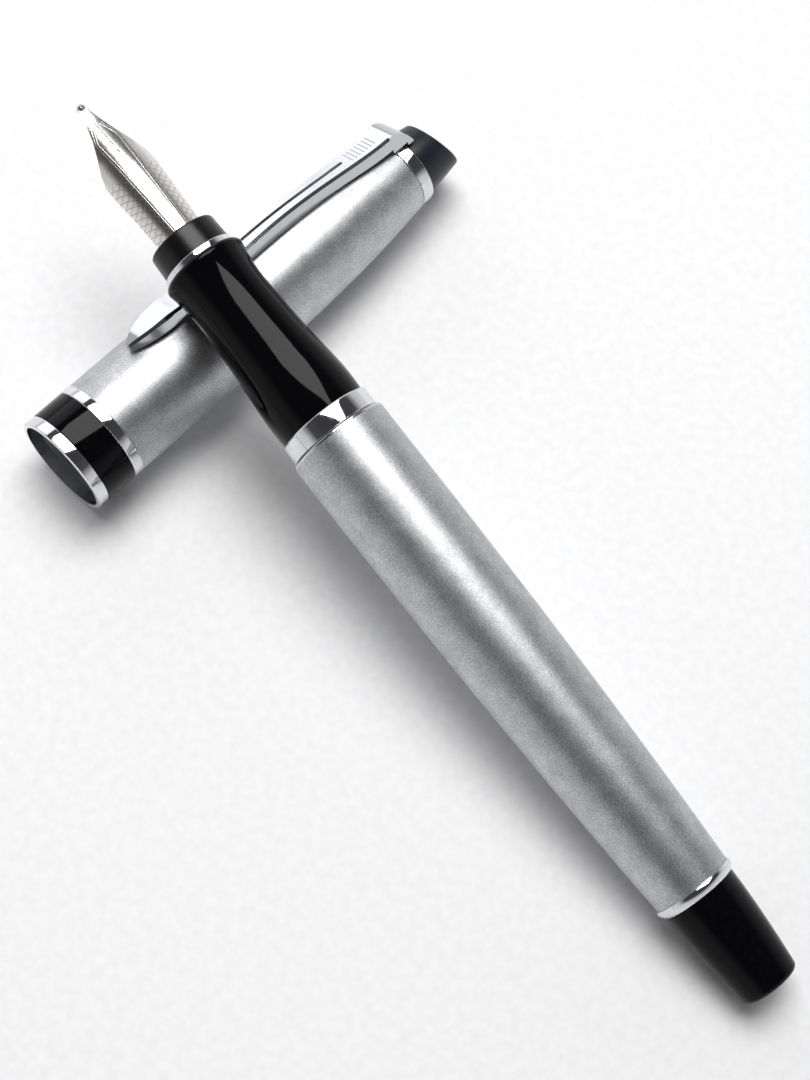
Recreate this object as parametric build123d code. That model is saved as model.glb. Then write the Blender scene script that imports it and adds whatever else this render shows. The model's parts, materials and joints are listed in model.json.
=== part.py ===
from build123d import *
import os
from math import asin, cos, degrees, radians, sin

# A fountain pen laid down with its cap off. The pen stands on the rim of its tail and leans over
# the cap, which lies across it with the clip upwards. Millimetres, the table at z = 0.
# Every piece is drawn on its own axis first: +Z runs along the pen from tail to nib, or along the
# cap from mouth to crown, and +X is the side of the nib's top, or of the clip.

# ---- Lengths along the pen, from the tail to the tip of the nib ----
tail_end_length = 12.6
tail_ring_length = 1.1
barrel_length = 62.2
barrel_lip_length = 0.3
joint_gap = 0.15          # open line between the barrel's lip and the joint ring
joint_ring_length = 2.4
ring_gap = 0.05           # the joint ring turns freely against the grip
grip_length = 22.2
grip_nose_length = 0.8    # from the crest of the grip's lip to its front
front_ring_length = 0.7
collar_length = 3.1
nib_reach = 18.6          # exposed nib, without its tipping

# ---- Clearances ----
fixed_gap = 0.02          # pressed or glued pieces, on the radius
running_gap = 0.05        # pieces that turn or slide in each other, on the radius
thread_gap = 0.06         # crests of the barrel's inner and outer thread
free_gap = 0.1            # sheet-metal tab in its slot, clip over ring
cap_gap = 0.08            # joint ring in the capped cap
barrel_gap = 0.53         # converter in the barrel
edge = 0.15               # softened edge of the metal rings

# ---- Ink converter, which the pen is built round ----
converter_radius = 3.5
converter_length = 33.5   # reservoir with its nose, the common standard
converter_wall = 0.6
converter_mouth = 4.5     # solid nose that takes the nipple
nose_gap = 0.3            # nose to pipe flange
nose_band_length = 6.7
nose_band_wall = 0.28
sleeve_length = 16.0
sleeve_over_tube = 4.0
sleeve_wall = 0.25
guide_length = 2.5
rod_radius = 1.0
rod_grip = 2.1            # rod still inside the knob's neck with the converter empty
rod_end_gap = 0.4
piston_length = 4.0
piston_gap = 0.5          # piston to nose with the converter empty
seal_width = 0.6
seal_depth = 0.45
knob_length = 11.0
knob_end_wall = 1.0
knob_flutes = 18
flute_radius = 0.35
screw_lead = 3.0          # piston travel for one turn of the knob

# ---- Walls, from the converter outwards ----
bush_wall = 0.45
thread_depth = 0.3
thread_pitch = 0.9
thread_length = 8.0
neck_step = 0.3
shank_wall = 0.55
bush_shank_length = 5.2
ring_wall = 0.77
insert_wall = 0.64
insert_length = 14.0
barrel_wall = 0.74
barrel_tail_wall = 0.45
grip_wall = 0.96
grip_belly = 0.08         # swell of the grip in front of the joint ring
plug_wall = 1.55          # barrel's tail outside the plug
plug_depth = 5.0          # plug inside the tail end
plug_length = 12.0
tail_step = 0.25          # tail end below the barrel's tail
tail_taper = 0.95
tail_rim = 0.7            # rounding of the tail's end
tail_ring_crest = 0.30    # tail ring above the barrel's tail

# ---- Nib, feed and their housing ----
nib_base_radius = 2.9
nib_thickness = 0.35
nib_flare = 0.49          # shoulders beyond the base, each side
slit_width = 0.12
slit_length = 8.0
tipping_radius = 0.55
feed_step = 0.15          # feed's belly below the base of the nib
feed_reach = 16.7         # how far the feed runs under the nib, past the collar
fin_slot = 0.35
fin_pitch = 0.9
fin_count = 8
feed_hole = 1.0
feed_hole_depth = 2.0
channel_width = 0.3
collar_wall = 0.83
collar_flange = 0.6
collar_shank_length = 11.0
grip_front_wall = 0.93
grip_flare = 0.42
front_ring_wall = 0.75
flange_step = 0.15        # pipe flange beyond the bush's bore and the collar's shank
flange_length = 2.0
pipe_bore = 0.5
nipple_radius = 1.3
nipple_gap = 0.04
nipple_length = 4.6

# ---- Cap ----
lip_ring_length = 1.5
band_length = 4.0
trim_ring_length = 1.35
crown_groove = 0.2        # dark line under the clip ring
clip_ring_length = 1.6
crown_length = 5.0        # along the axis, where the slanted end crosses it
crown_slant = 22.0        # degrees, the end face leans towards the clip
crown_rim = 0.35
shell_taper_length = 24.2
shell_narrowing = 1.58    # from the straight shell to its top, on the radius
spigot_wall = 0.26
shell_step = 0.32         # shell, rings and band above the spigot
lip_ring_step = 0.30
band_step = 0.34
trim_ring_step = 0.40
shell_top_wall = 2.0
liner_mouth_length = 7.0
liner_seat_step = 0.3     # the shell's bore is this much narrower behind the liner's mouth
liner_gap = 0.03
liner_mouth_gap = 0.08    # round the grip's lip
liner_step_gap = 0.15     # round the collar
nib_air = 2.15            # in front of the capped nib
nib_side_air = 0.61
well_floor = 3.18
screw_radius = 1.6
screw_head_radius = 2.6
screw_head_length = 1.2
screw_in_crown = 2.6
crown_step = 0.45         # crown inside the clip ring
crown_taper = 0.7

# ---- Clip ----
clip_tip = 14.0           # station of its point, from the cap's mouth
clip_stand = 2.02         # its highest line above the shell
clip_tip_drop = 0.8
clip_head_stand = 2.4     # its head above the top of the shell
clip_waist = 3.2
clip_bulge = 3.85
clip_head_width = 4.0
clip_bevel = 0.31
clip_lift = 0.32          # underside to the cap's shell
clip_side = 1.75          # height of its side walls
clip_plate = 0.7
clip_wall = 0.5
clip_slot_width = 0.5
clip_slot_start = 25.0
clip_slot_end = 48.5
tab_thickness = 0.4
tab_width = 1.6
tab_depth = 1.1           # tab inside the crown
clip_open_angle = 3.0

# ---- How the two lie ----
cap_yaw = 96.4            # degrees, cap axis from the pen's tail direction
clip_roll = 26.5          # degrees, clip from straight up towards the nib
cap_setback = 2.2         # cap's axis under the grip, back from the front ring
cap_overlap = 24.8        # from the cap's mouth to where the pen crosses it
rest_gap = 0.08           # grip over the clip's edge

# ---- Radii that follow, from the converter outwards ----
converter_bore = converter_radius - converter_wall
sleeve_bore = converter_radius + fixed_gap
knob_radius = converter_radius - running_gap
barrel_bore = sleeve_bore + sleeve_wall + barrel_gap
bush_bore = converter_radius + fixed_gap + nose_band_wall + running_gap
thread_radius = bush_bore + bush_wall + thread_depth
insert_bore = thread_radius + thread_gap
insert_radius = insert_bore + insert_wall
barrel_radius = insert_radius + fixed_gap + barrel_wall
neck_radius = thread_radius + neck_step
joint_ring_radius = neck_radius + running_gap + ring_wall
bush_shank_radius = bush_bore + shank_wall
grip_rear_radius = bush_shank_radius + fixed_gap + grip_wall
barrel_tail_radius = barrel_bore + barrel_tail_wall
plug_radius = barrel_tail_radius - plug_wall
tail_front_radius = barrel_tail_radius - tail_step
tail_end_radius = tail_front_radius - tail_taper
tail_ring_radius = barrel_tail_radius + tail_ring_crest
collar_bore = nib_base_radius + fixed_gap
collar_shank_radius = collar_bore + collar_wall
collar_radius = collar_shank_radius + collar_flange
grip_waist_radius = collar_shank_radius + fixed_gap + grip_front_wall
grip_lip_radius = grip_waist_radius + grip_flare
front_ring_radius = collar_shank_radius + fixed_gap + front_ring_wall
flange_radius = max(bush_bore, collar_shank_radius) + flange_step
nib_shoulder = nib_base_radius + nib_flare
cap_bore = joint_ring_radius + cap_gap
liner_seat = cap_bore - liner_seat_step
spigot_radius = cap_bore + spigot_wall
lip_ring_radius = spigot_radius + lip_ring_step
band_radius = spigot_radius + band_step
trim_ring_radius = spigot_radius + trim_ring_step
shell_radius = spigot_radius + shell_step
shell_wall = shell_radius - liner_seat
shell_top_radius = shell_radius - shell_narrowing
clip_ring_radius = shell_top_radius - 0.05
crown_groove_radius = clip_ring_radius - 0.25
crown_radius = clip_ring_radius - crown_step
crown_end_radius = crown_radius - crown_taper
liner_mouth_radius = grip_lip_radius + liner_mouth_gap
nib_well_radius = nib_shoulder + nib_side_air
clip_height = shell_radius + clip_stand
clip_tip_height = clip_height - clip_tip_drop
clip_head_height = shell_top_radius + clip_head_stand

# ---- Stations along the pen ----
tail_ring_at = tail_end_length
barrel_at = tail_ring_at + tail_ring_length
plug_end = tail_ring_at - plug_depth + plug_length
barrel_lip_at = barrel_at + barrel_length
barrel_front = barrel_lip_at + barrel_lip_length
insert_at = barrel_front - insert_length
joint_ring_at = barrel_front + joint_gap
grip_at = joint_ring_at + joint_ring_length + ring_gap
front_ring_at = grip_at + grip_length
lip_at = front_ring_at - grip_nose_length
collar_at = front_ring_at + front_ring_length
nib_at = collar_at + collar_length
nib_end = nib_at + nib_reach
flange_rear = grip_at + bush_shank_length
flange_front = flange_rear + flange_length
nose_at = flange_rear - nose_gap
tube_rear = nose_at - converter_length
guide_rear = tube_rear - guide_length
sleeve_rear = tube_rear + sleeve_over_tube - sleeve_length
knob_front = sleeve_rear - free_gap
knob_rear = knob_front - knob_length
knob_neck_front = guide_rear - free_gap
nose_rear = nose_at - converter_mouth
piston_front = nose_rear - piston_gap
piston_rear = piston_front - piston_length
piston_stroke = knob_neck_front - rod_grip - rod_end_gap - knob_end_wall - knob_rear
shank_rear = collar_at - collar_shank_length
feed_rear = shank_rear + 2.0
nib_rear = shank_rear + 4.0

# ---- Stations along the cap; capped, its mouth meets the barrel's lip ----
band_at = lip_ring_length
trim_ring_at = band_at + band_length
shell_at = trim_ring_at + trim_ring_length
liner_step = front_ring_at - barrel_front
liner_start = liner_step - liner_mouth_length
well_end = nib_end + tipping_radius - barrel_front + nib_air
liner_end = well_end + well_floor
shell_top = liner_end + fixed_gap + shell_top_wall
taper_at = shell_top - shell_taper_length
clip_ring_at = shell_top + crown_groove
crown_at = clip_ring_at + clip_ring_length
hinge_station = crown_at + 0.4
hinge_height = crown_radius + free_gap
tab_station = crown_at + 0.3
head_at = shell_top - 0.2


# ---- Helpers ----
def line(*points):
    """Straight-sided stretch of an outline through (radius, station) points."""
    return Polyline([(radius, 0, station) for radius, station in points]).edges()


def curve(points, **ends):
    """Curved stretch of an outline through (radius, station) points."""
    return Spline([(radius, 0, station) for radius, station in points], **ends).edges()


def turned(*stretches):
    """Solid turned about Z from the closed outline that the stretches make together."""
    return revolve(make_face([part for stretch in stretches for part in stretch]), Axis.Z)


def tube(bore, radius, start, end):
    """Plain tube, or a rod where the bore is 0."""
    return turned(line((bore, start), (radius, start), (radius, end), (bore, end), (bore, start)))


def softened(piece, radius, *stations):
    """Rounds the outermost edge that a turned piece has at each of the stations."""
    for station in stations:
        circles = piece.edges().filter_by(GeomType.CIRCLE)
        rims = circles.filter_by_position(Axis.Z, station - 1e-4, station + 1e-4)
        piece = fillet(rims.sort_by(SortBy.RADIUS)[-1], radius)
    return piece


def swelling(narrow, wide, start, end, fullness, steps=5):
    """Outline points that widen from narrow at start to wide at end, where they run level."""
    shares = [step / steps for step in range(steps + 1)]
    return [(wide - (wide - narrow) * (1 - t) ** fullness, start + (end - start) * t) for t in shares]


def slab(x0, x1, width, z0, z1):
    """Box from x0 to x1 and z0 to z1, centred across the axis."""
    return Pos((x0 + x1) / 2, 0, (z0 + z1) / 2) * Box(x1 - x0, width, z1 - z0)


# ---- Outlines that more than one piece follows ----
tail_outline = swelling(tail_end_radius, tail_front_radius, 0, tail_ring_at, 1.6)
barrel_outline = swelling(barrel_tail_radius, barrel_radius, barrel_at, barrel_lip_at, 2.4)
grip_mid_radius = (grip_rear_radius + grip_waist_radius) / 2
grip_outline = [
    (grip_rear_radius, grip_at),
    (grip_rear_radius + grip_belly, grip_at + grip_length * 0.12),
    (grip_mid_radius, grip_at + grip_length * 0.37),
    (grip_waist_radius, grip_at + grip_length * 0.65),
    (grip_waist_radius + 0.03, lip_at - 2.4),
    (grip_lip_radius, lip_at),
]
grip_nose = [(grip_lip_radius - 0.12, front_ring_at - 0.26), (grip_waist_radius - 0.08, front_ring_at)]


def shell_radius_at(station):
    """Outside of the cap's shell: straight, then drawn in along a parabola to its top."""
    drawn = max(0.0, (station - taper_at) / shell_taper_length)
    return shell_radius - shell_narrowing * drawn**2


def drawn_in(start, end, inset, steps=5):
    """Outline points along the shell's drawn-in part, inset from its outside."""
    stations = [start + (end - start) * step / steps for step in range(steps + 1)]
    return [(shell_radius_at(station) - inset, station) for station in stations]


# ---- Barrel ----
def make_tail_end():
    """Lacquered end piece, bored from the front for the plug."""
    bore = plug_radius + fixed_gap
    body = turned(
        curve(tail_outline),
        line(tail_outline[-1], (bore, tail_ring_at), (bore, tail_ring_at - plug_depth),
             (0, tail_ring_at - plug_depth), (0, 0), tail_outline[0]),
    )
    return softened(body, tail_rim, 0)


def make_tail_ring():
    """Plated ring that flares from the tail end to just proud of the barrel."""
    bore = plug_radius + fixed_gap
    back = (tail_front_radius + 0.12, tail_ring_at)
    crest = (tail_ring_radius, barrel_at - 0.3)
    middle = (tail_ring_radius - 0.1, tail_ring_at + 0.45)
    flare = ThreePointArc(*[(radius, 0, station) for radius, station in (back, middle, crest)])
    front = (tail_ring_radius - 0.12, barrel_at)
    return turned(flare.edges(), line(crest, front, (bore, barrel_at), (bore, tail_ring_at), back))


def make_tail_plug():
    """Threaded plug that holds tail end, ring and barrel together."""
    return tube(0, plug_radius, tail_ring_at - plug_depth, plug_end)


def make_barrel_tube():
    """Satin tube, thick at the tail, bored for the converter and counterbored for its insert."""
    small = plug_radius + fixed_gap
    wide = insert_radius + fixed_gap
    return turned(
        curve(barrel_outline),
        line(barrel_outline[-1], (wide, barrel_lip_at), (wide, insert_at), (barrel_bore, insert_at),
             (barrel_bore, plug_end), (small, plug_end), (small, barrel_at), barrel_outline[0]),
    )


def make_barrel_insert():
    """Brass liner with the inner thread and the bright lip that closes the barrel's mouth."""
    liner = tube(insert_bore, insert_radius, insert_at, barrel_front)
    liner += tube(insert_bore, barrel_radius, barrel_lip_at, barrel_front)
    liner = softened(liner, barrel_lip_length * 0.4, barrel_front)
    for turn in range(int((thread_length - 1.5) / thread_pitch)):
        at = barrel_front - 1.2 - turn * thread_pitch
        liner -= tube(insert_bore - 0.1, insert_bore + thread_depth, at - thread_pitch * 0.45, at)
    return liner


# ---- Joint and section ----
def make_joint_ring():
    """Broad polished ring between barrel and grip, its front edge well rounded."""
    end = joint_ring_at + joint_ring_length
    ring = tube(neck_radius + running_gap, joint_ring_radius, joint_ring_at, end)
    ring = softened(ring, 0.32, end)
    return softened(ring, 0.12, joint_ring_at)


def make_thread_bush():
    """Brass bush: shank glued in the grip, neck that carries the ring, and the outer thread."""
    crest_at = barrel_front + 0.1
    thread_at = crest_at - thread_length
    shank_end = grip_at + bush_shank_length
    bush = tube(bush_bore, thread_radius, thread_at, crest_at)
    bush += tube(bush_bore, neck_radius, crest_at, grip_at)
    bush += tube(bush_bore, bush_shank_radius, grip_at, shank_end)
    for turn in range(int((thread_length - 1.5) / thread_pitch)):
        at = thread_at + 0.6 + turn * thread_pitch
        bush -= tube(thread_radius - thread_depth, thread_radius + 0.1, at, at + thread_pitch * 0.45)
    return bush


def make_grip_section():
    """Glossy grip: a belly behind, a waist for the fingers and a flared lip in front."""
    rear_bore = bush_shank_radius + fixed_gap
    seat = flange_radius + fixed_gap
    front_bore = collar_shank_radius + fixed_gap
    rounding = [(radius, 0, station) for radius, station in [grip_outline[-1], *grip_nose]]
    return turned(
        curve(grip_outline),
        ThreePointArc(*rounding).edges(),
        line(grip_nose[-1], (front_bore, front_ring_at), (front_bore, flange_front),
             (seat, flange_front), (seat, flange_rear), (rear_bore, flange_rear),
             (rear_bore, grip_at), grip_outline[0]),
    )


def make_section_front_ring():
    """Narrow plated ring in front of the grip's lip."""
    ring = tube(collar_shank_radius + fixed_gap, front_ring_radius, front_ring_at, collar_at)
    return softened(ring, edge, collar_at)


def make_nib_collar():
    """Black housing of nib and feed: a shank in the grip and a tapered flange in front."""
    collar = turned(line(
        (collar_bore, shank_rear), (collar_shank_radius, shank_rear), (collar_shank_radius, collar_at),
        (collar_radius, collar_at), (collar_radius - edge, nib_at), (collar_bore, nib_at),
        (collar_bore, shank_rear),
    ))
    return softened(collar, 0.3, nib_at)


def make_feed_pipe():
    """Pipe that carries ink from the converter to the feed, trapped by its flange."""
    rear = flange_rear - nipple_length
    pipe = tube(pipe_bore, nipple_radius, rear, flange_rear)
    pipe += tube(pipe_bore, flange_radius, flange_rear, flange_front)
    pipe += tube(pipe_bore, feed_hole, flange_front, feed_rear + feed_hole_depth)
    return softened(pipe, 0.2, rear)


# ---- Nib and feed ----
nib_run = nib_end - nib_at
shoulder_at = nib_at + nib_run * 0.51
# (station, half width, radius of the arc, height of its crown over the axis)
nib_sections = [
    (station, half_width, nib_base_radius + opening, nib_base_radius - drop)
    for station, half_width, opening, drop in [
        (nib_rear, nib_base_radius, 0, 0),
        (nib_at, nib_base_radius, 0.01, 0),
        (nib_at + nib_run * 0.23, nib_base_radius + 0.2, 0.3, 0.18),
        (nib_at + nib_run * 0.40, nib_shoulder - 0.08, 0.6, 0.44),
        (shoulder_at, nib_shoulder, 0.75, 0.6),
        (nib_at + nib_run * 0.58, nib_shoulder - 0.33, 0.83, 0.78),
        (nib_at + nib_run * 0.68, nib_shoulder - 1.12, 0.9, 1.08),
        (nib_at + nib_run * 0.78, nib_shoulder - 1.88, 1.0, 1.4),
        (nib_at + nib_run * 0.89, nib_shoulder - 2.50, 1.1, 1.76),
        (nib_end, nib_shoulder - 2.94, 1.1, 2.04),
    ]
]


def nib_section(station, half_width, radius, crown):
    """Curved strip that the nib's sheet has at a station."""
    centre = crown - radius
    half = asin(half_width / radius)

    def point(r, angle):
        return (centre + r * cos(angle), r * sin(angle), station)

    inner = radius - nib_thickness
    outside = ThreePointArc(point(radius, -half), point(radius, 0), point(radius, half))
    inside = ThreePointArc(point(inner, half), point(inner, 0), point(inner, -half))
    ends = [Line(point(radius, half), point(inner, half)), Line(point(inner, -half), point(radius, -half))]
    return make_face([outside, ends[0], inside, ends[1]])


def slit():
    """Saw cut that parts the tines."""
    return slab(-1, nib_base_radius + 1, slit_width, nib_end - slit_length, nib_end + 2)


def make_nib():
    """Sheet-metal nib: half round in the collar, opening to its shoulders, then two tines."""
    return loft([nib_section(*row) for row in nib_sections], ruled=True) - slit()


def make_nib_tip(nib):
    """Two small beads of hard metal, one on the end of each tine."""
    crown = nib_sections[-1][3]
    bead = Pos(crown - tipping_radius * 0.55, 0, nib_end + 0.1) * Sphere(tipping_radius)
    return bead - nib - slit()


def half_turned(points, side):
    """Half of a turned solid: side +1 keeps the top, -1 the underside."""
    whole = turned(line(*points))
    reach = max(station for _, station in points) + 1
    return whole & slab(min(0, side * 9), max(0, side * 9), 18, 0, reach)


def make_feed():
    """Ebonite feed under the nib: combs in its belly, a channel on top and a hole behind."""
    end = nib_at + feed_reach
    belly_radius = nib_base_radius - feed_step
    under_nib = [(crown - nib_thickness - running_gap, station)
                 for station, _, _, crown in nib_sections if nib_at <= station < end]
    back = (nib_base_radius - nib_thickness - running_gap, feed_rear)
    top = [(0, feed_rear), back, *under_nib, (0.5, end), (0, end), (0, feed_rear)]
    belly = [(0, feed_rear), (nib_base_radius, feed_rear), (nib_base_radius, nib_at),
             (belly_radius, nib_at + 0.1), (belly_radius - 0.15, nib_at + feed_reach * 0.49),
             (belly_radius * 0.62, nib_at + feed_reach * 0.73),
             (belly_radius * 0.3, nib_at + feed_reach * 0.91), (0.45, end), (0, end), (0, feed_rear)]
    feed = half_turned(top, 1) + half_turned(belly, -1)
    for fin in range(fin_count):
        at = nib_at + 1.2 + fin * fin_pitch
        groove = tube(belly_radius * 0.58, belly_radius + 1, at, at + fin_slot)
        feed -= groove & slab(-9, 0, 18, 0, nib_end)
    channel_end = nib_at + feed_reach * 0.79
    feed -= slab(nib_base_radius * 0.25, nib_base_radius + 1, channel_width, feed_rear - 1, channel_end)
    return feed - tube(0, feed_hole + fixed_gap, feed_rear - 1, feed_rear + feed_hole_depth + fixed_gap)


# ---- Ink converter ----
def make_converter_tube():
    """Clear reservoir whose solid nose slips over the nipple."""
    hole = nipple_radius + nipple_gap
    return turned(line(
        (converter_bore, tube_rear), (converter_radius, tube_rear), (converter_radius, nose_at),
        (hole, nose_at), (hole, nose_rear), (converter_bore, nose_rear), (converter_bore, tube_rear),
    ))


def make_converter_collar():
    """Thin metal band round the nose, a sliding fit in the bush."""
    return tube(converter_radius + fixed_gap, bush_bore - running_gap, nose_at - nose_band_length, nose_at)


def make_converter_sleeve():
    """Metal sleeve that joins the reservoir to the knob's neck."""
    return tube(sleeve_bore, sleeve_bore + sleeve_wall, sleeve_rear, sleeve_rear + sleeve_length)


def make_converter_guide():
    """Disc behind the reservoir that keeps the rod straight."""
    return tube(rod_radius + running_gap, converter_radius, guide_rear, tube_rear)


def make_converter_knob():
    """Fluted knob: its neck turns in the sleeve and its bore takes the rod."""
    neck = sleeve_bore - running_gap
    knob = tube(0, knob_radius, knob_rear, knob_front)
    knob = softened(knob, 0.5, knob_rear)
    for flute in range(knob_flutes):
        place = Rot(0, 0, 360 * flute / knob_flutes) * Pos(knob_radius + flute_radius * 0.4, 0, knob_rear + 1)
        knob -= place * extrude(Circle(flute_radius), knob_length - 2)
    knob += tube(0, neck, knob_front, knob_neck_front)
    return knob - tube(0, rod_radius + running_gap, knob_rear + knob_end_wall, knob_neck_front + 1)


def make_piston_rod():
    """Screw of the piston; it runs back into the knob as the converter fills."""
    rear = knob_neck_front - rod_grip
    return tube(0, rod_radius, rear, piston_rear + piston_length / 2)


def make_piston_head():
    """Plastic piston with two grooves for its seals and a blind hole for the rod."""
    head = tube(0, converter_bore - running_gap, piston_rear, piston_front)
    head -= tube(0, rod_radius + fixed_gap, piston_rear - 1, piston_rear + piston_length / 2 + fixed_gap)
    for at in seal_stations:
        head -= tube(converter_bore - running_gap - seal_depth, converter_bore + 1, at, at + seal_width)
    return head


seal_stations = [piston_rear + 0.7, piston_front - 0.7 - seal_width]


def make_piston_seals():
    """Two rubber rings that wipe the reservoir's wall."""
    inner = converter_bore - running_gap - seal_depth + fixed_gap
    outer = converter_bore - fixed_gap
    rings = [tube(inner, outer, at + fixed_gap, at + seal_width - fixed_gap) for at in seal_stations]
    return Compound(children=rings)


# ---- Cap ----
def make_cap_lip_ring():
    """Plated ring at the cap's mouth."""
    ring = tube(cap_bore, lip_ring_radius, 0, band_at)
    return softened(ring, edge, 0, band_at)


def make_cap_band():
    """Lacquered black band between the two plated rings, round the shell's spigot."""
    band = tube(spigot_radius + fixed_gap, band_radius, band_at, trim_ring_at)
    return softened(band, 0.05, band_at, trim_ring_at)


def make_cap_trim_ring():
    """Plated ring that covers the shoulder between band and shell."""
    ring = tube(spigot_radius + fixed_gap, trim_ring_radius, trim_ring_at, shell_at)
    return softened(ring, edge, trim_ring_at, shell_at)


def make_cap_shell():
    """Satin shell with a spigot for the band, drawn in at the top and closed there."""
    roof = shell_top - shell_top_wall
    hole = screw_radius + fixed_gap
    bore_end = liner_start - 0.4
    outside = drawn_in(taper_at, shell_top, 0)
    inside = drawn_in(taper_at, roof, shell_wall)
    return turned(
        line((spigot_radius, band_at), (spigot_radius, shell_at), (shell_radius, shell_at), outside[0]),
        curve(outside),
        line(outside[-1], (hole, shell_top), (hole, roof), inside[-1]),
        curve(inside),
        line(inside[0], (liner_seat, bore_end), (cap_bore, bore_end), (cap_bore, band_at),
             (spigot_radius, band_at)),
    )


def make_inner_cap():
    """Plastic liner that seals on the grip's lip and holds the nib's damp air."""
    outside = drawn_in(taper_at, liner_end, shell_wall + liner_gap)
    recess = screw_head_radius + fixed_gap
    hole = screw_radius + fixed_gap
    seat = well_end + screw_head_length
    return turned(
        curve(outside),
        line(outside[-1], (hole, liner_end), (hole, seat), (recess, seat), (recess, well_end),
             (nib_well_radius - 0.6, well_end), (nib_well_radius, well_end - 8),
             (nib_well_radius, liner_step + 6), (collar_radius + liner_step_gap, liner_step + 1),
             (liner_mouth_radius, liner_step + 0.2),
             (liner_mouth_radius, liner_start), (liner_seat - liner_gap, liner_start), outside[0]),
    )


def make_clip_ring():
    """Plated ring on top of the shell, undercut so that a dark line shows below it."""
    bore = screw_radius + fixed_gap
    ring = tube(bore, crown_groove_radius, shell_top, clip_ring_at)
    upper = softened(tube(bore, clip_ring_radius, clip_ring_at, crown_at), 0.1, clip_ring_at, crown_at)
    return ring + upper


def make_cap_crown():
    """Dark crown, tapered, cut off at a slant and slotted for the clip's tab."""
    top = crown_at + crown_length + crown_radius
    taper = [(crown_radius, crown_at), (crown_radius - 0.17, crown_at + 1.9),
             (crown_end_radius + 0.15, crown_at + 4.4), (crown_end_radius - 0.35, top)]
    crown = turned(curve(taper), line(taper[-1], (0, top), (0, crown_at), taper[0]))
    cut = Pos(0, 0, crown_at + crown_length) * Rot(0, crown_slant, 0) * Pos(0, 0, 10) * Box(40, 40, 20)
    crown -= cut
    face = crown.faces().sort_by(Axis.Z)[-1]
    crown = fillet(face.edges(), crown_rim)
    crown -= tube(0, screw_radius + fixed_gap, crown_at - 1, crown_at + screw_in_crown + fixed_gap)
    slot = slab(crown_radius - tab_depth - 2 * free_gap, crown_radius + 2, tab_width + 2 * free_gap,
                tab_station - free_gap, tab_station + tab_thickness + free_gap)
    return crown - slot


def make_crown_screw():
    """Screw from inside the liner that draws shell, ring and crown together."""
    head_end = well_end + screw_head_length
    screw = tube(0, screw_head_radius, well_end, head_end)
    screw += tube(0, screw_radius, head_end, crown_at + screw_in_crown)
    return screw - slab(-0.3, 0.3, 3.6, well_end - 1, well_end + 0.5)


# ---- Clip ----
def clip_sections():
    """(station, width, height of the top, height of the underside) along the clip."""
    point = clip_tip
    rows = [
        (point, 0.9, clip_tip_height),
        (point + 0.8, 1.9, clip_tip_height + clip_tip_drop * 0.4),
        (point + 1.9, 2.75, clip_tip_height + clip_tip_drop * 0.7),
        (point + 3.4, 3.45, clip_tip_height + clip_tip_drop * 0.92),
        (point + 6.2, clip_bulge, clip_height),
        (point + 15.0, clip_bulge - 0.32, clip_height - 0.1),
        (head_at - 11.6, clip_waist - 0.15, clip_height - 0.45),
        (head_at - 8.0, clip_waist + 0.1, clip_height - 0.78),
        (head_at - 4.0, clip_head_width - 0.25, clip_head_height + 0.12),
        (head_at, clip_head_width, clip_head_height),
    ]
    return [(s, width, top, max(shell_radius_at(s) + clip_lift, top - clip_side)) for s, width, top in rows]


def clip_section(station, width, top, under):
    """Flat-topped outline of the clip with its two bevels."""
    half = width / 2
    bevel = min(clip_bevel, half * 0.4, (top - under) * 0.4)
    corners = [(under, -half), (top - bevel, -half), (top, bevel - half), (top, half - bevel),
               (top - bevel, half), (under, half), (under, -half)]
    return make_face(Polyline([(x, y, station) for x, y in corners]).edges())


def channel_section(station, width, top, under):
    """Hollow under the clip's plate, between its two side walls."""
    half = width / 2 - clip_wall
    corners = [(under - 1, -half), (top - clip_plate, -half), (top - clip_plate, half), (under - 1, half)]
    return make_face(Polyline([(x, y, station) for x, y in corners + corners[:1]]).edges())


def make_clip():
    """Pressed clip: a leaf-shaped point, a slotted channel and a heel that hooks into the crown."""
    rows = clip_sections()
    blade = loft([clip_section(*row) for row in rows[4:]]) + loft([clip_section(*row) for row in rows[:5]])
    blade -= loft([channel_section(*row) for row in rows[4:-1]])
    slot = slab(shell_top_radius, clip_height + 2, clip_slot_width, clip_slot_start, clip_slot_end)
    for end in (clip_slot_start, clip_slot_end):
        drill = extrude(Circle(clip_slot_width / 2), clip_height)
        slot += Pos(shell_top_radius, 0, end) * Rot(0, 90, 0) * drill
    blade -= slot

    station, width, top, under = rows[-1]
    ring_clear = clip_ring_radius + free_gap
    reach = tab_station + tab_thickness
    foot = (crown_radius + free_gap, reach + 0.55)
    side = make_face([
        *line(foot, (foot[0], tab_station), (ring_clear, tab_station), (ring_clear, station), (top, station)),
        *curve([(top, station), (top - 0.35, station + 1.5), (top - 1.2, reach - 0.3), foot]),
    ])
    heel = extrude(side, (width - 0.1) / 2, dir=(0, 1, 0), both=True)
    tab = slab(crown_radius - tab_depth, crown_radius + 0.6, tab_width, tab_station, reach)
    return blade + heel + tab


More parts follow.
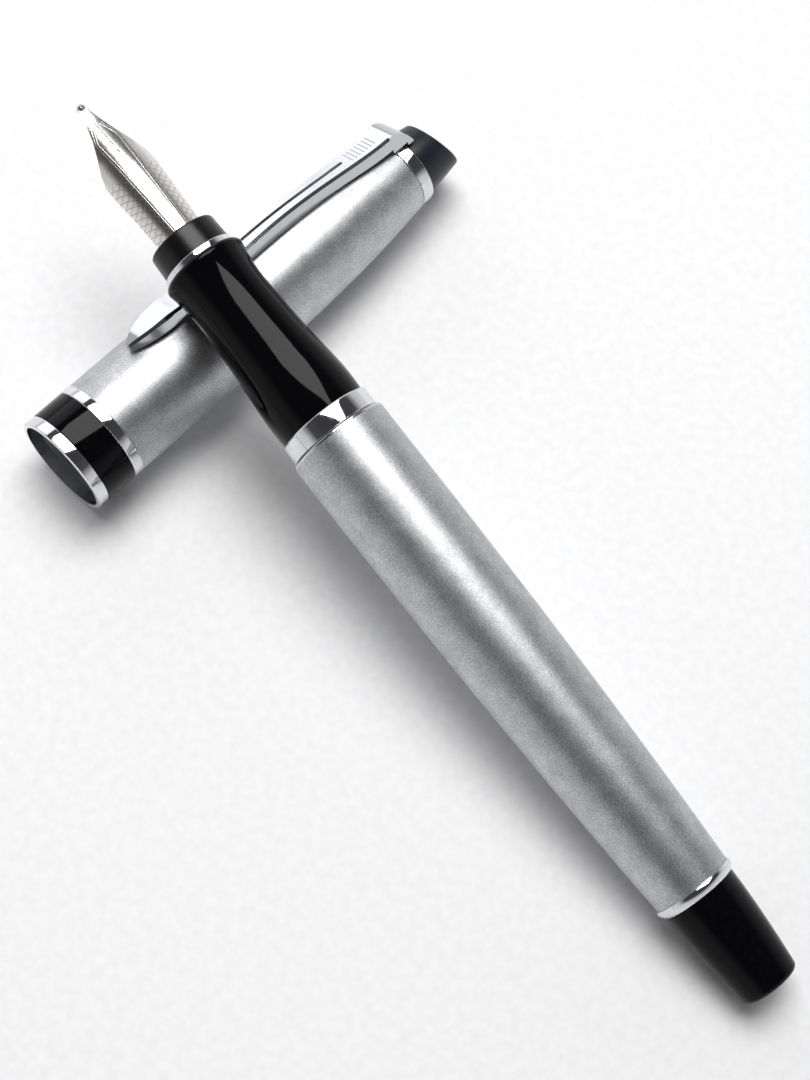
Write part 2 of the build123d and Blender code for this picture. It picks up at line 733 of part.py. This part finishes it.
pen = {
    "tail_end": make_tail_end(),
    "tail_ring": make_tail_ring(),
    "tail_plug": make_tail_plug(),
    "barrel_tube": make_barrel_tube(),
    "barrel_insert": make_barrel_insert(),
    "joint_ring": make_joint_ring(),
    "thread_bush": make_thread_bush(),
    "grip_section": make_grip_section(),
    "section_front_ring": make_section_front_ring(),
    "nib_collar": make_nib_collar(),
    "feed_pipe": make_feed_pipe(),
    "feed": make_feed(),
    "nib": make_nib(),
    "converter_tube": make_converter_tube(),
    "converter_collar": make_converter_collar(),
    "converter_sleeve": make_converter_sleeve(),
    "converter_guide": make_converter_guide(),
    "converter_knob": make_converter_knob(),
    "piston_rod": make_piston_rod(),
    "piston_head": make_piston_head(),
    "piston_seals": make_piston_seals(),
}
pen["nib_tip"] = make_nib_tip(pen["nib"])
cap = {
    "cap_lip_ring": make_cap_lip_ring(),
    "cap_band": make_cap_band(),
    "cap_trim_ring": make_cap_trim_ring(),
    "cap_shell": make_cap_shell(),
    "inner_cap": make_inner_cap(),
    "clip_ring": make_clip_ring(),
    "cap_crown": make_cap_crown(),
    "crown_screw": make_crown_screw(),
    "clip": make_clip(),
}


# ---- How the pen and the cap lie ----
yaw = radians(cap_yaw)
roll = radians(clip_roll)
cap_axis = (cos(yaw), sin(yaw), 0)
clip_up = (-sin(roll) * sin(yaw), sin(roll) * cos(yaw), cos(roll))


def lay_pen(tilt):
    """Place of the pen leaning at a tilt, with the rim of its tail on the table."""
    leaning = Plane(origin=(0, 0, 0), x_dir=(sin(tilt), 0, cos(tilt)), z_dir=(-cos(tilt), 0, sin(tilt)))
    low = (leaning.location * pen["tail_end"]).bounding_box(optimal=True).min.Z
    return Pos(0, 0, -low) * leaning.location


def find_mouth(tilt):
    """Middle of the cap's mouth when the cap lies under the grip of the leaning pen."""
    reach = (front_ring_at - cap_setback) * cos(tilt)
    return (-reach - cap_overlap * cos(yaw), -cap_overlap * sin(yaw), trim_ring_radius)


def let_down():
    """Tilt at which the pen, let down from above, comes to rest on the cap."""
    arm = front_ring_at - cap_setback
    tilt = asin((trim_ring_radius + clip_height + grip_lip_radius) / arm)
    for _ in range(5):
        place = Plane(origin=find_mouth(tilt), x_dir=clip_up, z_dir=cap_axis).location
        front = [lay_pen(tilt) * pen[name] for name in ("grip_section", "section_front_ring", "nib_collar")]
        below = [place * cap[name] for name in ("clip", "cap_shell")]
        gap = min(upper.distance_to(lower) for upper in front for lower in below)
        tilt -= (gap - rest_gap) / arm
    return tilt


tilt = let_down()
pen_place = lay_pen(tilt)
cap_mouth = find_mouth(tilt)
cap_place = Plane(origin=cap_mouth, x_dir=clip_up, z_dir=cap_axis).location

placed = {name: pen_place * piece for name, piece in pen.items()}
placed.update({name: cap_place * piece for name, piece in cap.items()})

# The origin goes to the middle of the underside of the box round everything.
box = placed["clip"].bounding_box(optimal=True)
for piece in placed.values():
    box = box.add(piece.bounding_box(optimal=True))
middle = Pos(-(box.min.X + box.max.X) / 2, -(box.min.Y + box.max.Y) / 2, -box.min.Z)

os.makedirs("parts", exist_ok=True)
for name, piece in placed.items():
    export_step(middle * piece, f"parts/{name}.step")
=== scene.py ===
import json
from math import radians

import bmesh
import bpy
from mathutils import Matrix, Vector

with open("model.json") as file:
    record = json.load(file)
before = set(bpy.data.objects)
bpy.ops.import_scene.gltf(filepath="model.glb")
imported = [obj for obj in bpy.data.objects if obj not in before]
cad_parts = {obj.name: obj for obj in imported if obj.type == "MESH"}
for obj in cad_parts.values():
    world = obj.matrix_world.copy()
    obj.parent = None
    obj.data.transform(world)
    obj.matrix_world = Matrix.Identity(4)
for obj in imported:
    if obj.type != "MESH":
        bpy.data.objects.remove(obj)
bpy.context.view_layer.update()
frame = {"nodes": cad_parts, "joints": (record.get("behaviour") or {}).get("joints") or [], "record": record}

# ---- Ink converter ----
# A clear moulded reservoir with a black fluted knob, a black piston rod and a piston with rubber
# rings. Two plated sleeves of thin drawn brass hold it together. Pushed on to the feed's pipe.
MM = 0.001


def colour(code):
    """sRGB hex colour turned linear for a shader."""
    parts = [int(code[i:i + 2], 16) / 255 for i in (1, 3, 5)]
    return [p / 12.92 if p <= 0.04045 else ((p + 0.055) / 1.055) ** 2.4 for p in parts] + [1.0]


def add(tree, kind, settings=None, links=None):
    """Adds a shader node, sets its inputs or properties by name, and links its inputs."""
    made = tree.nodes.new("ShaderNode" + kind)
    for name, value in (settings or {}).items():
        if isinstance(name, int) or name in made.inputs:
            made.inputs[name].default_value = value
        else:
            setattr(made, name, value)
    for name, socket in (links or {}).items():
        tree.links.new(socket, made.inputs[name])
    return made


def blend_colours(tree, share, *stops):
    """Colour ramp over a value: (position, hex colour) stops."""
    ramp = add(tree, "ValToRGB", links={"Fac": share})
    knots = ramp.color_ramp.elements
    while len(knots) < len(stops):
        knots.new(0.5)
    for knot, (position, code) in zip(knots, stops):
        knot.position = position
        knot.color = colour(code)
    return ramp.outputs["Color"]


def finish(name, **values):
    """New material: its tree, its shader, and the place on the piece in metres."""
    made = bpy.data.materials.new(name)
    made.use_nodes = True
    tree = made.node_tree
    shader = tree.nodes["Principled BSDF"]
    for socket, value in values.items():
        shader.inputs[socket.replace("_", " ")].default_value = value
    return made, tree, shader, add(tree, "TexCoord").outputs["Object"]


def grain(tree, place, shader, size, height, detail=2.0):
    """Fine bumps of a size and a height in metres; gives back the noise they follow."""
    noise = add(tree, "TexNoise", {"Scale": 1 / size, "Detail": detail}, {"Vector": place}).outputs["Fac"]
    bump = add(tree, "Bump", {"Strength": 1.0, "Distance": height}, {"Height": noise})
    tree.links.new(bump.outputs["Normal"], shader.inputs["Normal"])
    return noise


def spread(tree, value, low, high):
    """A 0 to 1 value taken to another range."""
    return add(tree, "MapRange", {"To Min": low, "To Max": high}, {"Value": value}).outputs["Result"]


def dress(name, material, crease=28):
    """Gives a CAD piece its material and shades it smooth except over its real edges."""
    piece = frame["nodes"][name]
    piece.data.materials.clear()
    piece.data.materials.append(material)
    piece.data.shade_smooth()
    weld = piece.modifiers.new("weld", "WELD")
    weld.merge_threshold = 2e-6
    split = piece.modifiers.new("crease", "EDGE_SPLIT")
    split.split_angle = radians(crease)
    return piece


# Clear polycarbonate, faintly wavy from the mould.
clear, tree, shader, place = finish(
    "clear_polycarbonate", Roughness=0.06, IOR=1.58, Transmission_Weight=0.94)
waves = grain(tree, place, shader, 3 * MM, 0.004 * MM)
tree.links.new(blend_colours(tree, waves, (0.3, "#E8ECEE"), (0.7, "#F6F8F8")), shader.inputs["Base Color"])
dress("converter_tube", clear)

# Thin brass sleeves, nickel plated and drawn, so fine lines run along them.
sleeve, tree, shader, place = finish("drawn_nickel", Metallic=1.0, Roughness=0.2)
lines = grain(tree, place, shader, 0.2 * MM, 0.001 * MM, 6.0)
tree.links.new(spread(tree, lines, 0.14, 0.3), shader.inputs["Roughness"])
tree.links.new(blend_colours(tree, lines, (0.3, "#BDBDBB"), (0.7, "#D6D6D4")), shader.inputs["Base Color"])
for name in ("converter_sleeve", "converter_collar"):
    dress(name, sleeve)

# Black ABS of knob, guide and rod: satin from the mould.
satin_plastic, tree, shader, place = finish("satin_black_plastic", Roughness=0.38)
mottle = grain(tree, place, shader, 0.12 * MM, 0.003 * MM, 4.0)
tree.links.new(spread(tree, mottle, 0.3, 0.46), shader.inputs["Roughness"])
tree.links.new(blend_colours(tree, mottle, (0.3, "#131315"), (0.7, "#1C1C1F")), shader.inputs["Base Color"])
for name in ("converter_knob", "converter_guide", "piston_rod"):
    dress(name, satin_plastic)

# Piston head of grey plastic, its two rings of soft dull rubber.
head, tree, shader, place = finish("grey_plastic", Roughness=0.45)
mottle = grain(tree, place, shader, 0.3 * MM, 0.003 * MM)
tree.links.new(blend_colours(tree, mottle, (0.3, "#333336"), (0.7, "#3E3E42")), shader.inputs["Base Color"])
dress("piston_head", head)
rubber, tree, shader, place = finish("nitrile_rubber", Roughness=0.7)
mottle = grain(tree, place, shader, 0.08 * MM, 0.004 * MM)
tree.links.new(blend_colours(tree, mottle, (0.3, "#101011"), (0.7, "#1A1A1B")), shader.inputs["Base Color"])
dress("piston_seals", rubber)

# ---- Thread bush, barrel insert and plug ----
# Turned brass pieces hidden in the pen: the bush is glued in the grip, the plug in the tail.
# The insert is nickel plated, and its lip is the bright line that closes the barrel.
brass, tree, shader, place = finish("turned_brass", Metallic=1.0, Roughness=0.28)
marks = grain(tree, place, shader, 0.25 * MM, 0.002 * MM, 5.0)
tree.links.new(spread(tree, marks, 0.2, 0.42), shader.inputs["Roughness"])
tree.links.new(blend_colours(tree, marks, (0.3, "#B8924C"), (0.7, "#D8B56C")), shader.inputs["Base Color"])
dress("thread_bush", brass)
dress("tail_plug", brass)

# Nickel over turned brass: bright, with the haze of fine turning.
nickel, tree, shader, place = finish("nickel_plate", Metallic=1.0, Roughness=0.12)
haze = grain(tree, place, shader, 0.4 * MM, 0.0015 * MM, 4.0)
tree.links.new(spread(tree, haze, 0.07, 0.2), shader.inputs["Roughness"])
tree.links.new(blend_colours(tree, haze, (0.3, "#CFCFCE"), (0.7, "#E2E2E2")), shader.inputs["Base Color"])
dress("barrel_insert", nickel)

# ---- Grip ----
# Injection moulded glossy black resin, polished: deep black, with the faint waviness of a moulding
# and the dust and fine rubs of use.
gloss, tree, shader, place = finish(
    "black_gloss_resin", Roughness=0.05, Specular_IOR_Level=0.12)
swell = grain(tree, place, shader, 4 * MM, 0.006 * MM, 1.0)
rubs = add(tree, "TexNoise", {"Scale": 1 / (0.6 * MM), "Detail": 8.0}, {"Vector": place}).outputs["Fac"]
tree.links.new(spread(tree, rubs, 0.02, 0.11), shader.inputs["Roughness"])
dust = blend_colours(tree, rubs, (0.0, "#060607"), (0.72, "#08080A"), (0.8, "#1B1B1D"))
tree.links.new(dust, shader.inputs["Base Color"])
dress("grip_section", gloss, 35)

# ---- Nib collar, feed and pipe ----
# The collar is a satin black moulding; the feed under the nib is black ebonite cut with combs,
# duller than the rest, with the marks of the saw. Nib and feed are pushed into it together.
ebonite, tree, shader, place = finish("cut_ebonite", Roughness=0.5)
cuts = grain(tree, place, shader, 0.1 * MM, 0.005 * MM, 5.0)
tree.links.new(spread(tree, cuts, 0.38, 0.62), shader.inputs["Roughness"])
tree.links.new(blend_colours(tree, cuts, (0.3, "#0D0D0E"), (0.7, "#191919")), shader.inputs["Base Color"])
dress("feed", ebonite)
dress("feed_pipe", satin_plastic)
collar_black, tree, shader, place = finish("collar_black_plastic", Roughness=0.25, Specular_IOR_Level=0.3)
mottle = grain(tree, place, shader, 0.25 * MM, 0.003 * MM, 3.0)
tree.links.new(spread(tree, mottle, 0.18, 0.36), shader.inputs["Roughness"])
tree.links.new(blend_colours(tree, mottle, (0.3, "#09090A"), (0.7, "#111113")), shader.inputs["Base Color"])
dress("nib_collar", collar_black, 35)

# ---- Nib ----
# Stainless sheet, pressed round, polished bright, and rolled with an engraved border, a lattice
# behind the shoulders and fine shading lines down each tine.
ring_turn = next(joint for joint in frame["joints"] if joint["name"] == "ring_turn")
to_nib = -Vector(ring_turn["axis"]).normalized()
pen_side = Vector((0, 1, 0))
pen_top = pen_side.cross(to_nib).normalized()
ring_station = 76.35 * MM
pen_tail = Vector(ring_turn["pos_m"]) - to_nib * ring_station


def along(tree, place, corner, top, side, axis):
    """A place on the piece told as height, breadth and station from a corner, in metres."""
    turn = Matrix((top, side, axis)).transposed().to_euler()
    told = add(tree, "Mapping", {"vector_type": "TEXTURE", "Location": corner, "Rotation": turn},
               {"Vector": place})
    return add(tree, "SeparateXYZ", links={"Vector": told.outputs["Vector"]}).outputs


def maths(tree, operation, first, second, third=None):
    """A maths node; each argument is a socket or a number."""
    given = [value for value in (first, second, third) if value is not None]
    numbers = {i: value for i, value in enumerate(given) if isinstance(value, (int, float))}
    sockets = {i: value for i, value in enumerate(given) if i not in numbers}
    return add(tree, "Math", {"operation": operation, **numbers}, sockets).outputs["Value"]


def groove(tree, distance, width):
    """1 in the middle of a cut line, 0 from half its width outwards."""
    share = maths(tree, "DIVIDE", maths(tree, "ABSOLUTE", distance, 0), width / 2)
    return maths(tree, "SUBTRACT", 1.0, maths(tree, "MINIMUM", share, 1.0))


nib_at = 104.8 * MM
shoulder_at = 114.3 * MM
nib_end = 123.4 * MM
nib_steel, tree, shader, place = finish("engraved_stainless", Metallic=1.0, Roughness=0.12)
_, across, station = along(tree, place, pen_tail, pen_top, pen_side, to_nib)
breadth = maths(tree, "ABSOLUTE", across, 0)
# Border: a pair of lines that opens from the collar to the tines and closes before the tip.
border_at_collar = 0.85 * MM
border_widest = 1.5 * MM
border_at_tip = 0.1 * MM
opening = add(tree, "MapRange", {"From Min": nib_at, "From Max": 119.0 * MM,
                                 "To Min": border_at_collar, "To Max": border_widest}, {"Value": station})
closing = add(tree, "MapRange", {"From Min": 118.6 * MM, "From Max": nib_end - 1.2 * MM,
                                 "To Min": border_widest, "To Max": border_at_tip}, {"Value": station})
border = maths(tree, "MINIMUM", opening.outputs["Result"], closing.outputs["Result"])
outer_line = groove(tree, maths(tree, "SUBTRACT", breadth, border), 0.2 * MM)
inner_line = groove(tree, maths(tree, "SUBTRACT", breadth, maths(tree, "SUBTRACT", border, 0.24 * MM)),
                    0.08 * MM)
# Shading lines outside the border, raked towards the tip, and a lattice behind the shoulders.
rake_slope = 0.8
rise = maths(tree, "MULTIPLY", breadth, rake_slope)
rake = maths(tree, "ADD", station, rise)
counter = maths(tree, "SUBTRACT", station, rise)
shading_pitch = 0.22 * MM
lattice_pitch = 0.42 * MM
lattice_width = 0.2 * MM
fine = groove(tree, maths(tree, "PINGPONG", rake, shading_pitch), 0.16 * MM)
cross = groove(tree, maths(tree, "PINGPONG", counter, lattice_pitch), lattice_width)
crossed = groove(tree, maths(tree, "PINGPONG", rake, lattice_pitch), lattice_width)
outside = maths(tree, "GREATER_THAN", maths(tree, "SUBTRACT", breadth, border), 0.2 * MM)
ahead = maths(tree, "GREATER_THAN", station, shoulder_at - 0.6 * MM)
behind = maths(tree, "SUBTRACT", 1.0, ahead)
lattice_depth = 0.55
lattice = maths(tree, "MULTIPLY", maths(tree, "MAXIMUM", cross, crossed), lattice_depth)
lattice = maths(tree, "MULTIPLY", lattice, behind)
shading_depth = 0.3
shaded = maths(tree, "MULTIPLY", maths(tree, "MULTIPLY", fine, shading_depth), ahead)
fields = maths(tree, "MULTIPLY", maths(tree, "ADD", lattice, shaded), outside)
plain_tip = 2.6 * MM
before_tip = maths(tree, "LESS_THAN", station, nib_end - plain_tip)
lines = maths(tree, "MAXIMUM", maths(tree, "MAXIMUM", outer_line, inner_line), fields)
engraved = maths(tree, "MULTIPLY", lines, before_tip)
polish = add(tree, "TexNoise", {"Scale": 1 / (0.7 * MM), "Detail": 6.0}, {"Vector": place}).outputs["Fac"]
depth = maths(tree, "SUBTRACT", maths(tree, "MULTIPLY", polish, 0.12), engraved)
bump = add(tree, "Bump", {"Strength": 1.0, "Distance": 0.012 * MM}, {"Height": depth})
tree.links.new(bump.outputs["Normal"], shader.inputs["Normal"])
tree.links.new(spread(tree, engraved, 0.2, 0.45), shader.inputs["Roughness"])
# The engraved lines are painted darker than the polished steel round them: painted shade in the cuts, on top
# of their bump.
painted_groove_shade = blend_colours(tree, engraved, (0.0, "#E2E0DB"), (0.45, "#B5B1AA"), (1.0, "#4A4642"))
tree.links.new(painted_groove_shade, shader.inputs["Base Color"])
dress("nib", nib_steel, 40)

# Tipping: two beads of ground hard alloy, polished duller than the steel.
tipping, tree, shader, place = finish("ground_alloy", Metallic=1.0, Roughness=0.2)
ground = grain(tree, place, shader, 0.08 * MM, 0.001 * MM)
tree.links.new(spread(tree, ground, 0.14, 0.3), shader.inputs["Roughness"])
tree.links.new(blend_colours(tree, ground, (0.3, "#B9B8B6"), (0.7, "#D2D1CF")), shader.inputs["Base Color"])
dress("nib_tip", tipping)

# ---- Plated rings of pen and cap ----
# Turned brass, polished and chromium plated: mirror bright, with hairline rubs that run every way
# and a trace of haze. Each is pressed on and trapped by its neighbours.
chrome, tree, shader, place = finish("chromium_plate", Metallic=1.0, Roughness=0.05)
haze = grain(tree, place, shader, 1.6 * MM, 0.0012 * MM, 3.0)
rubs = add(tree, "TexNoise", {"Scale": 1 / (0.3 * MM), "Detail": 9.0, "Distortion": 1.2},
           {"Vector": place}).outputs["Fac"]
tree.links.new(spread(tree, rubs, 0.02, 0.1), shader.inputs["Roughness"])
tree.links.new(blend_colours(tree, haze, (0.3, "#DADBDD"), (0.7, "#E9EAEB")), shader.inputs["Base Color"])
for name in ("section_front_ring", "joint_ring", "tail_ring", "cap_lip_ring", "cap_trim_ring", "clip_ring"):
    dress(name, chrome, 35)

# ---- Barrel and cap shell ----
# Drawn steel tubes, bead blasted to an even satin and lacquered clear: a fine sparkling grain with
# slight clouds where the blast was heavier.
satin, tree, shader, place = finish("satin_blasted_steel", Metallic=1.0, Roughness=0.36)
speck = add(tree, "TexNoise", {"Scale": 1 / (0.11 * MM), "Detail": 2.0}, {"Vector": place}).outputs["Fac"]
cloud = add(tree, "TexNoise", {"Scale": 1 / (2.2 * MM), "Detail": 3.0}, {"Vector": place}).outputs["Fac"]
mixed = maths(tree, "ADD", maths(tree, "MULTIPLY", speck, 0.8), maths(tree, "MULTIPLY", cloud, 0.2))
bump = add(tree, "Bump", {"Strength": 1.0, "Distance": 0.012 * MM}, {"Height": speck})
tree.links.new(bump.outputs["Normal"], shader.inputs["Normal"])
tree.links.new(spread(tree, mixed, 0.34, 0.5), shader.inputs["Roughness"])
tree.links.new(blend_colours(tree, mixed, (0.36, "#9A9B9E"), (0.5, "#BBBCBE"), (0.64, "#DEDFE0")),
               shader.inputs["Base Color"])
dress("barrel_tube", satin)
dress("cap_shell", satin)

# ---- Tail end and cap band ----
# Black lacquer over turned metal, polished like glass: blacker than the grip, hardly a mark on it.
lacquer, tree, shader, place = finish(
    "black_lacquer", Roughness=0.04, Specular_IOR_Level=0.12)
swell = grain(tree, place, shader, 3 * MM, 0.002 * MM, 1.0)
rubs = add(tree, "TexNoise", {"Scale": 1 / (0.5 * MM), "Detail": 8.0}, {"Vector": place}).outputs["Fac"]
tree.links.new(spread(tree, rubs, 0.02, 0.09), shader.inputs["Roughness"])
tree.links.new(blend_colours(tree, rubs, (0.3, "#050507"), (0.75, "#0B0B0E")), shader.inputs["Base Color"])
dress("tail_end", lacquer, 35)
dress("cap_band", lacquer, 35)

# ---- Cap liner, screw and crown ----
# The liner is a plain charcoal moulding and the screw plain turned steel, both hidden in the cap.
# The crown is a semi-matt blue-black moulding, drawn down on the shell by the screw.
liner, tree, shader, place = finish("charcoal_moulding", Roughness=0.5)
mottle = grain(tree, place, shader, 0.3 * MM, 0.004 * MM, 3.0)
tree.links.new(blend_colours(tree, mottle, (0.3, "#17171A"), (0.7, "#222226")), shader.inputs["Base Color"])
dress("inner_cap", liner)
turned_steel, tree, shader, place = finish("turned_steel", Metallic=1.0, Roughness=0.35)
marks = grain(tree, place, shader, 0.15 * MM, 0.002 * MM, 4.0)
tree.links.new(blend_colours(tree, marks, (0.3, "#8C8D90"), (0.7, "#ABACAE")), shader.inputs["Base Color"])
dress("crown_screw", turned_steel)
crown, tree, shader, place = finish("blue_black_moulding", Roughness=0.3, Specular_IOR_Level=0.35)
mottle = grain(tree, place, shader, 0.09 * MM, 0.004 * MM, 3.0)
tree.links.new(spread(tree, mottle, 0.26, 0.4), shader.inputs["Roughness"])
tree.links.new(blend_colours(tree, mottle, (0.3, "#12151B"), (0.7, "#1D212A")), shader.inputs["Base Color"])
dress("cap_crown", crown, 35)

# ---- Clip ----
# Pressed steel, slotted down its middle, chromium plated over a faint brushing along its length,
# with a few fine rules cut across near the head. It hooks into the crown.
cap_mouth = next(mount for mount in frame["record"]["mounts"] if mount["name"] == "cap_mouth")
clip_flex = next(joint for joint in frame["joints"] if joint["name"] == "clip_flex")
to_crown = -Vector(cap_mouth["axis"]).normalized()
cap_side = -Vector(clip_flex["axis"]).normalized()
cap_top = cap_side.cross(to_crown)
mouth = Vector(cap_mouth["pos_m"]) - to_crown * cap_mouth["dims"]["length_mm"] / 2 * MM
clip_chrome, tree, shader, place = finish("clip_plate", Metallic=1.0, Roughness=0.1)
height, across, station = along(tree, place, mouth, cap_top, cap_side, to_crown)
told = add(tree, "CombineXYZ", links={"X": height, "Y": across}).outputs["Vector"]
brush = add(tree, "TexNoise", {"Scale": 1 / (0.05 * MM), "Detail": 2.0}, {"Vector": told}).outputs["Fac"]
rule_pitch = 0.3 * MM
rule_width = 0.16 * MM
rule = groove(tree, maths(tree, "PINGPONG", station, rule_pitch), rule_width)
rules_start = 49.6 * MM
rules_end = 53.6 * MM
fade = 0.2 * MM
from_head = add(tree, "MapRange", {"From Min": rules_start, "From Max": rules_start + fade},
                {"Value": station})
to_head = add(tree, "MapRange", {"From Min": rules_end, "From Max": rules_end - fade}, {"Value": station})
ruled = maths(tree, "MULTIPLY", from_head.outputs["Result"], to_head.outputs["Result"])
rules_half_width = 1.0 * MM
inside = maths(tree, "LESS_THAN", maths(tree, "ABSOLUTE", across, 0), rules_half_width)
cut = maths(tree, "MULTIPLY", maths(tree, "MULTIPLY", rule, ruled), inside)
depth = maths(tree, "SUBTRACT", maths(tree, "MULTIPLY", brush, 0.06), cut)
bump = add(tree, "Bump", {"Strength": 1.0, "Distance": 0.03 * MM}, {"Height": depth})
tree.links.new(bump.outputs["Normal"], shader.inputs["Normal"])
tree.links.new(spread(tree, brush, 0.06, 0.16), shader.inputs["Roughness"])
# The cut rules are painted darker than the plate: painted shade in the cuts, on top of their bump.
tree.links.new(blend_colours(tree, cut, (0.0, "#C6C7CA"), (1.0, "#77787A")), shader.inputs["Base Color"])
dress("clip", clip_chrome, 20)

# ---- Table, light and camera ----
# A smooth white board under a broad soft window overhead, with a second, paler light low on the
# nib's side. The room round them is pale at the horizon and dim above.
table_mesh = bpy.data.meshes.new("table")
cut_board = bmesh.new()
bmesh.ops.create_grid(cut_board, x_segments=1, y_segments=1, size=1.5)
cut_board.to_mesh(table_mesh)
cut_board.free()
table = bpy.data.objects.new("table", table_mesh)
bpy.context.scene.collection.objects.link(table)
table.location.z = -0.0001
board, tree, shader, place = finish("white_board", Roughness=0.55)
fibre = grain(tree, place, shader, 1.2 * MM, 0.01 * MM, 5.0)
tree.links.new(blend_colours(tree, fibre, (0.3, "#EDEDEE"), (0.7, "#F4F4F4")), shader.inputs["Base Color"])
table_mesh.materials.append(board)


def lamp(name, place, aim, width, height, power, tint):
    """Rectangular lamp that faces a point."""
    light = bpy.data.lights.new(name, "AREA")
    light.shape = "RECTANGLE"
    light.size = width
    light.size_y = height
    light.energy = power
    light.color = colour(tint)[:3]
    made = bpy.data.objects.new(name, light)
    bpy.context.scene.collection.objects.link(made)
    made.location = place
    made.rotation_euler = (Vector(aim) - Vector(place)).to_track_quat("-Z", "Y").to_euler()
    return made


lamp("window", (-0.22, 0.17, 0.80), (0, 0, 0), 0.62, 0.5, 7.2, "#FFFFFF")
lamp("wall", (-0.85, 0.2, 0.38), (0, 0, 0), 0.7, 0.5, 1.3, "#FBFBFF")

world = bpy.data.worlds.new("room")
bpy.context.scene.world = world
world.use_nodes = True
tree = world.node_tree
direction = add(tree, "TexCoord").outputs["Generated"]
elevation = add(tree, "SeparateXYZ", links={"Vector": direction}).outputs["Z"]
sky = blend_colours(tree, elevation, (0.0, "#E6E6E8"), (0.3, "#CCCCCE"), (0.58, "#4C4C4E"),
                    (1.0, "#3A3A3B"))
backdrop = tree.nodes["Background"]
tree.links.new(sky, backdrop.inputs["Color"])
backdrop.inputs["Strength"].default_value = 1.0

lens = bpy.data.cameras.new("camera")
lens.lens = 63.33
lens.sensor_width = 36
lens.clip_start = 10 * MM
camera = bpy.data.objects.new("camera", lens)
bpy.context.scene.collection.objects.link(camera)
right = Vector((0.63480853, 0.77001767, 0.06008051))
down = Vector((0.73610971, -0.57964497, -0.34889827))
forward = Vector((-0.23383247, 0.26570944, -0.93523277))
seat = Vector((0.0483970, -0.0636034, 0.2098342))
camera.matrix_world = Matrix.Translation(seat) @ Matrix((right, -down, -forward)).transposed().to_4x4()
bpy.context.scene.camera = camera
bpy.context.scene.view_settings.view_transform = "Standard"
